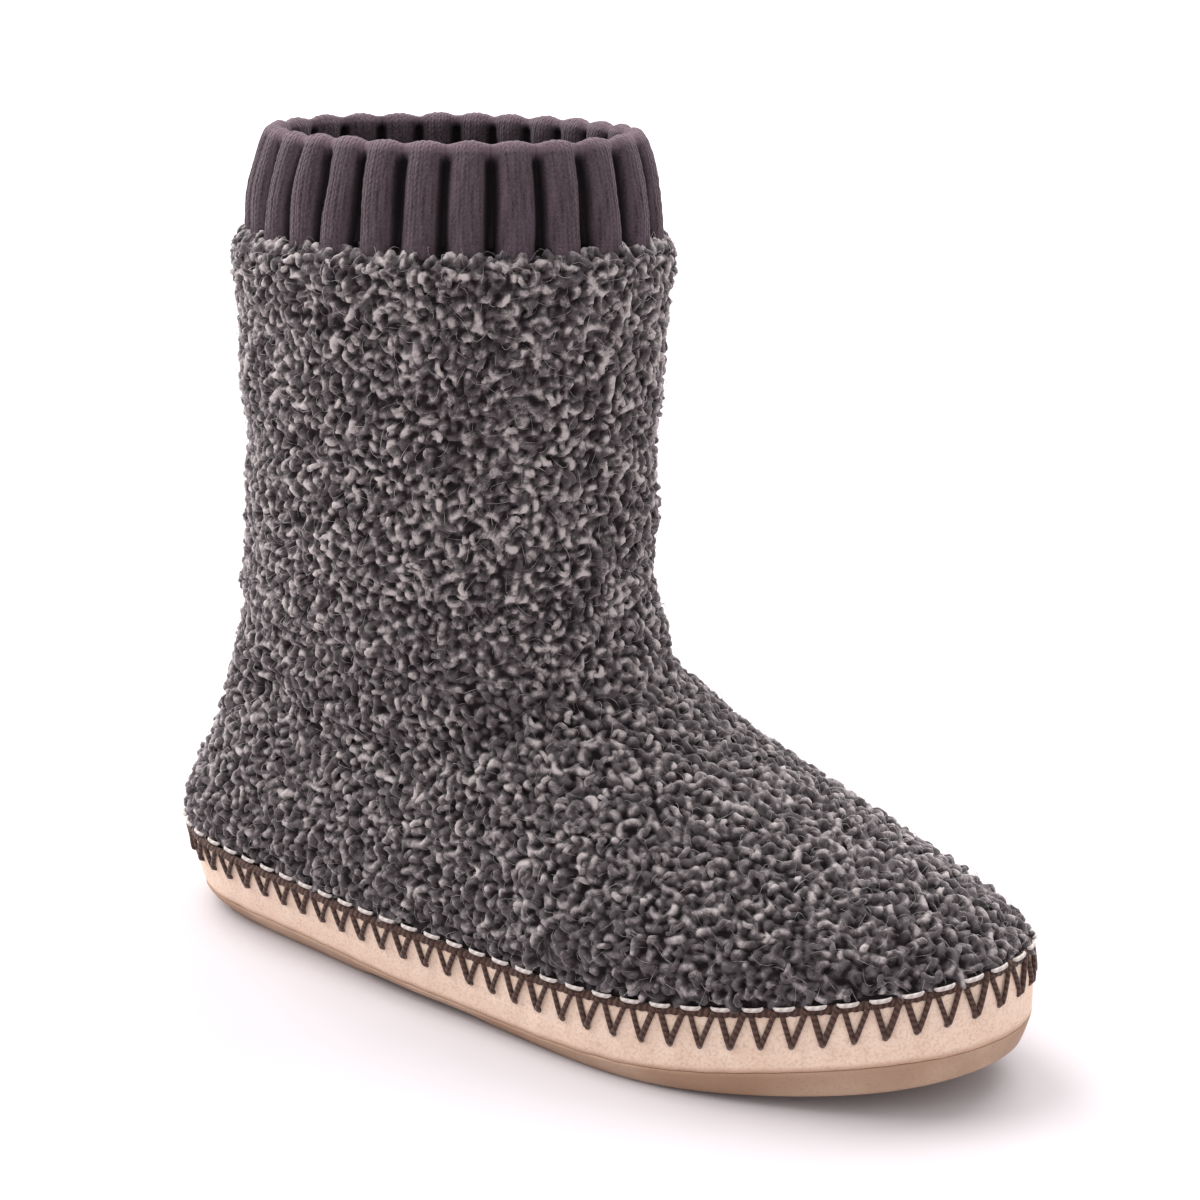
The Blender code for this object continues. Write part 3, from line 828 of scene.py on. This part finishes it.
def twistedCord(name, colour, crest, pitch):
    # twisted sewing cord: two plies that show as slanting ribs, with a soft shine
    material, add, place, fuzz, along, around = startMaterial(
        name, 0.75, 0.3, ((0.7, 2.0),), ("along", "around"), Sheen_Weight=0.2, Sheen_Roughness=0.4)
    mixed = add("Math MULTIPLY_ADD", plies(add, along, around, pitch), 0.3, fuzz)
    return finish(material, add, coats(add, colour, (mixed, 0.2, 0.85, crest)), mixed, 0.7, 0.0003)


edgeAngles = np.linspace(0.0, tau, 6001)
edgeRun = runAlong(wallPoint(edgeAngles, 1.0))
edgeLength = edgeRun[-1]


def evenAngles(count, offset=0.0):
    # angles that step evenly along the wall's top edge; offset is in steps
    return np.interp(edgeLength * ((np.arange(count) + offset) / count), edgeRun, edgeAngles)


vCount = int(round(edgeLength / wall["vPitch"]))
tips = evenAngles(vCount, 0.5)


def stitchDepth(angle):
    heel, toe = wall["vDepth"]
    return heel + (toe - heel) * ease(0.2, 0.75, station(angle))


def buildWall():
    angle = evenAngles(wall["columns"])[None, :]
    share = np.linspace(0.0, 1.0, wall["shares"])[:, None]
    turnedIn, turnedHeight = wall["turned"]
    below = (1.0 - share) * wallHeight(angle) / turnedHeight
    tuck = turnedIn * (1.0 - np.sqrt(1.0 - np.clip(1.0 - below, 0.0, 1.0) ** 2))
    outer = wallPoint(angle, share)
    # the stitches pull the suede in where they go down into it
    depth, width = wall["pull"]
    pull = np.zeros(outer.shape[:-1])
    for tip in wallPoint(tips, 1.0 - stitchDepth(tips) / wallHeight(tips)):
        near = np.abs(outer[..., 0] - tip[0]) < 6.0
        pull[near] += depth * np.exp(-(lengths(outer[near] - tip) / width) ** 2)
    depth, wavelength = wall["waviness"]
    moved = depth * rolling(outer, wavelength, 31) - pull - tuck
    outer = outer + moved[..., None] * wallNormal(angle, np.clip(share, 0.02, 0.98))
    upper = solePoint(angle, sole["wall"], topHeight(station(angle)))
    points = np.concatenate((outer, upper, solePoint(angle, sole["wall"], sole["gap"], 1.0)))
    fields = {"share": np.concatenate((share, [[1.0], [0.0]]))}
    addPiece("suedeWall", points, None, suede(), fields, replaced=("rand",))


def buildZigzag():
    # each V is two legs that cross at the tip; a band of cord along the edge ties them
    s = np.linspace(0.0, 1.0, 9)
    low, over, down = wall["vLift"]
    paths, sideways = [], []
    for way in (-1.0, 1.0):
        start = evenAngles(vCount, 0.5 + way * wall["vHalf"] / wall["vPitch"])[:, None]
        angle = start + ((tips - way * wall["vCross"])[:, None] - start) * s
        share = 1.0 + (wall["vTop"] - (stitchDepth(angle) + wall["vTop"]) * s) / wallHeight(angle)
        point, normal = wallPoint(angle, share), wallNormal(angle, np.clip(share, 0.05, 0.95))
        lift = low + over * (way > 0) - down * ease(0.86, 1.0, s)
        paths.append(point + lift[:, None] * normal)
        sideways.append(np.cross(normal, np.gradient(point, axis=1)))
    path = np.concatenate(paths)
    radius = wall["vRadius"] * (1.0 + 0.12 * np.sin(np.arange(len(path)) * 2.4))[:, None]
    points, faces, fields = tubes(path, radius, unit(np.concatenate(sideways)), 8, flatten=0.8)
    cord = twistedCord("waxed brown cord, twisted", wall["bandColour"], wall["bandCrest"], 1.7)
    addPiece("zigzagSeam", points, faces, cord, fields)

    # the band: a cord wound over the raw edges
    columns = 1500
    angle = evenAngles(columns)
    share = 1.0 + wall["bandRise"] / wallHeight(angle)
    point, normal = wallPoint(angle, share), wallNormal(angle, 0.95)
    upward = np.cross(normal, headings(point))
    turn = turns(10)
    run = (np.arange(columns) * edgeLength / columns)[:, None]
    wind = 1.0 + 0.1 * np.sin(tau * run / wall["bandWind"] + 1.3 * np.sin(turn))
    ring = 1.05 * np.cos(turn)[:, None] * upward[:, None] + 0.75 * np.sin(turn)[:, None] * normal[:, None]
    points = point[:, None] - 0.1 * normal[:, None] + wall["bandRadius"] * wind[..., None] * ring
    addPiece("seamBand", points, None, cord, {"along": run, "around": turn})


def buildDashes():
    # a pale running stitch just above the band, its ends down in the knit
    count = int(round(edgeLength / wall["dashPitch"]))
    s = np.linspace(-1.0, 1.0, 9)
    fine = np.linspace(-1.0, 7.3, 9001)  # over a turn, so no stitch crosses its end
    run = runAlong(wallPoint(fine, 1.0))
    here = np.interp(evenAngles(count), fine, run)
    angle = np.interp(here[:, None] + 0.5 * wall["dashLength"] * s, run, fine)
    forward = ease(0.45, 0.8, station(angle))  # 0 at the heel and 1 at the toe
    rise, lift = (heel + (toe - heel) * forward for heel, toe in (wall["dashRise"], wall["dashLift"]))
    row = np.zeros_like(angle)
    goal = topHeight(station(angle)) + rise
    for _ in range(12):  # climbs the knit until it is at the stitch's height
        place = knitPoint(row, angle)
        row = np.clip(row + 0.18 * (goal + spring(place[..., 0]) - place[..., 2]), 0.0, 2.0)
    normal = knitNormal(row, angle)
    path = knitPoint(row, angle) + (lift - 0.7 * s ** 4)[..., None] * normal
    sideways = np.cross(unit(np.gradient(path, axis=1)), normal)
    points, faces, fields = tubes(path, wall["dashRadius"] * (1.0 - 0.45 * s ** 6), sideways, 8, flatten=0.75)
    cord = twistedCord("natural cotton cord, twisted", wall["dashColour"], wall["dashCrest"], 2.2)
    addPiece("runningStitch", points, faces, cord, fields)
    print(f"{count} stitches over {edgeLength:.0f} mm")


# The outsole and the footbed

tread = {
    "columns": 900, "across": (30, 8), "groovePitch": 6.6, "grooveDepth": 0.9, "sway": 2.2,
    "archRise": 1.0, "heelEnd": 88.0, "forefootStart": 132.0, "archRamp": 4.0,
    "rubber": "#a38571", "bloom": "#b0947f", "flow": "#8b6850", "dust": "#7e6150", "grooveDarkening": "#5f4a38",
}

footbed = {
    "columns": 220, "across": 32, "clearance": 0.1,
    "shoulder": (13.0, 14.4, 0.9),  # height where the edge starts to round, height and inset of the top
    "crown": 0.6, "hollow": 1.6,  # how far the top rises inside its edge and dips in its middle
}


def tanRubber():
    # moulded thermoplastic rubber: satin, faintly speckled, darker in its grooves
    material, add, place, cloud, grain, flow, groove = startMaterial(
        "moulded tan rubber", 0.62, 0.4, ((11.0, 4.0), (0.9, 2.0), (55.0, 1.0)), ("groove",))
    # the groove field makes the tread darker in its grooves
    colour = coats(
        add, tread["rubber"], (cloud, 0.3, 0.7, tread["bloom"]),
        (flow, 0.44, 0.62, 0.0, 0.6, tread["flow"]), (grain, 0.5, 0.8, 0.0, 0.35, tread["dust"]),
        (groove, 0.1, 0.9, 0.0, 0.7, tread["grooveDarkening"]))
    satin = add("MapRange", cloud, 0.3, 0.7, 0.55, 0.75, **softly)
    return finish(material, add, colour, grain, 0.25, 0.0002, Roughness=satin)


def grooved(points, u):
    # wavy grooves: the mesh lines sway with them
    inner = 2.0 * np.minimum(u, 1.0 - u)
    x = points[..., 0].copy()
    ends = np.minimum(x - x.min(), x.max() - x)
    cut = ease(0.1, 0.7, np.cos(tau * x / tread["groovePitch"]))
    cut = cut * ease(0.05, 0.13, inner) * ease(3.0, 9.0, ends)
    sway = tread["sway"] * np.cos(points[..., 1] / 5.0) * ease(0.0, 0.13, inner)
    points[..., 0] += sway * ease(0.0, 12.0, ends)
    points[..., 2] += tread["grooveDepth"] * cut + spring(points[..., 0]) - spring(x)
    return cut


def pillowed(points, u):
    inner = np.minimum(u, 1.0 - u)
    points[..., 2] += footbed["crown"] * ease(0.0, 0.08, inner)
    points[..., 2] -= footbed["hollow"] * (4.0 * u * (1.0 - u)) ** 2
    points[..., 2] += 0.35 * rolling(points, 5.0, 41) + 0.2 * rolling(points, 2.4, 42)
    return 0.0


def closeEnds(loops, ends):
    # a solid with rings of points for walls; an end is strips across the boot, given as its ring,
    # whether it is the top, its number of points across, and what shapes and marks it
    rings, columns = loops.shape[:2]
    half = columns // 2
    k = np.arange(1, half)[:, None]
    points, faces, marks = [loops.reshape(-1, 3)], [sheetFaces(rings, columns)], [np.zeros(rings * columns)]
    count = rings * columns
    for ring, isTop, across, shaped in ends:
        loop, first = loops[ring], ring % rings * columns
        u = np.linspace(0.0, 1.0, across)[None, 1:-1]
        left, right = loop[1:half, None], loop[:half:-1, None]
        middle = left + (right - left) * u[..., None]
        mark = shaped(middle, u) if shaped else 0.0
        ids = count + np.arange(middle[..., 0].size).reshape(half - 1, -1)
        count += ids.size
        points.append(middle.reshape(-1, 3))
        marks.append(np.broadcast_to(mark, ids.shape).ravel())
        grid = np.concatenate((first + k, ids, first + columns - k), axis=1)
        quads = np.stack([grid[:-1, :-1], grid[:-1, 1:], grid[1:, 1:], grid[1:, :-1]], -1).reshape(-1, 4)
        heel = np.append(grid[0, ::-1], first)[None, :]
        toe = np.append(grid[-1], first + half)[None, :]
        faces += [group[:, ::-1] if isTop else group for group in (quads, heel, toe)]
    return np.concatenate(points), faces, np.concatenate(marks)


def buildOutsole():
    angle = turns(tread["columns"])
    t = station(angle)
    x, ramp = sole["length"] * t, tread["archRamp"]
    forefoot = ease(tread["forefootStart"] - ramp, tread["forefootStart"] + ramp, x)
    arch = tread["archRise"] * (ease(tread["heelEnd"] - ramp, tread["heelEnd"] + ramp, x) - forefoot)
    # from the tread's edge up to the seam: share of the way from the tread's line to the wall's foot,
    # distance inside that, share of the arch's lift, height, share of the seam's height
    profile = ((0.0, 1.6, 1.0, 0.0, 0.0), (0.0, 0.7, 1.0, 0.12, 0.0), (0.0, 0.15, 1.0, 0.55, 0.0),
               (0.0, -0.1, 1.0, 1.1, 0.0), (0.32, -0.1, 0.3, 0.0, 0.36), (0.65, 0.0, 0.0, 0.0, 0.58),
               (0.88, 0.0, 0.0, 0.0, 0.8), (1.0, -0.1, 0.0, -0.3, 1.0), (1.0, 0.1, 0.0, 0.1, 1.0),
               (1.0, 1.5, 0.0, 0.1, 1.0))
    loops = np.stack([solePoint(angle, (1.0 - way) * treadInset(t) + way * footInset(t) + inset,
                                lifted * arch + height, seamShare)
                      for way, inset, lifted, height, seamShare in profile])
    under, top = tread["across"]
    points, faces, marks = closeEnds(loops, ((0, False, under, grooved), (-1, True, top, None)))
    fields = {"groove": marks}
    addPiece("rubberOutsole", points, faces, tanRubber(), fields, replaced=("outsole",))


def buildFootbed():
    angle = turns(footbed["columns"])
    edge = sole["wall"] + sole["gap"] + footbed["clearance"]
    shoulder, top, inset = footbed["shoulder"]
    loops = np.stack([solePoint(angle, edge, sole["gap"] + footbed["clearance"], 1.0),
                      solePoint(angle, edge, shoulder), solePoint(angle, edge + inset, top)])
    across = footbed["across"]
    points, faces, _ = closeEnds(loops, ((-1, True, across, pillowed), (0, False, across, None)))
    piece = addPiece("fleeceFootbed", points, faces, fleece, replaced=("insole",))


# The studio, in metres

studio = {
    "place": (0.3659, -0.5553, 0.3187), "aim": (0.0043, -0.0008, 0.1152), "roll": 1.68, "lens": 73.4,
    "floor": "#c4bec1", "fibre": "#c5bfc2", "floorRadius": 7.0, "sky": 1.09, "skyColour": "#ffffff",
    # far softboxes: the way the light runs, watts to a square metre, angle they fill
    "softboxes": (("keySoftbox", (0.72, 0.06, -0.8), 4.3, 60.0),
                  ("topSoftbox", (0.02, -0.72, -1.0), 1.9, 44.0)),
}


def addAimed(name, data, towards):
    made = addObject(name, data)
    made.rotation_mode = "QUATERNION"
    made.rotation_quaternion = Vector(towards).to_track_quat("-Z", "Y")
    return made


def buildStudio():
    scene = bpy.context.scene
    place, aim = Vector(studio["place"]), Vector(studio["aim"])
    camera = addAimed("camera", bpy.data.cameras.new("camera"), aim - place)
    camera.rotation_quaternion @= Quaternion((0.0, 0.0, 1.0), math.radians(studio["roll"]))
    camera.location = place
    camera.data.lens = studio["lens"]
    camera.data.clip_start = 0.01
    scene.camera = camera

    floorMesh = bpy.data.meshes.new("floor")
    radius = studio["floorRadius"]
    edge = [(radius * math.cos(a), radius * math.sin(a), 0.0) for a in turns(96)]
    floorMesh.from_pydata(edge, [], [tuple(range(len(edge)))])
    floor = addObject("floor", floorMesh)
    paper, add, place, fibres = startMaterial("seamless paper, matt", 0.9, 0.1, ((25.0, 3.0),))
    colour = coats(add, studio["floor"], (fibres, 0.3, 0.7, studio["fibre"]))
    floorMesh.materials.append(dressShader(paper, Base_Color=colour))

    world = bpy.data.worlds.new("studio")
    scene.world = world
    world.use_nodes = True
    backdrop = world.node_tree.nodes["Background"]
    fill(backdrop.inputs[0], studio["skyColour"])
    fill(backdrop.inputs[1], studio["sky"])

    for name, towards, power, angle in studio["softboxes"]:
        light = bpy.data.lights.new(name, "SUN")
        light.energy = power
        light.angle = math.radians(angle)
        addAimed(name, light, towards)
    scene.view_settings.view_transform = "Standard"


print("shell and curls")
buildShell()
buildLooseCurls()
buildFuzz()
print("cuff")
buildCuff()
print("wall and stitching")
buildWall()
buildZigzag()
buildDashes()
print("outsole and footbed")
buildOutsole()
buildFootbed()
print("studio")
buildStudio()
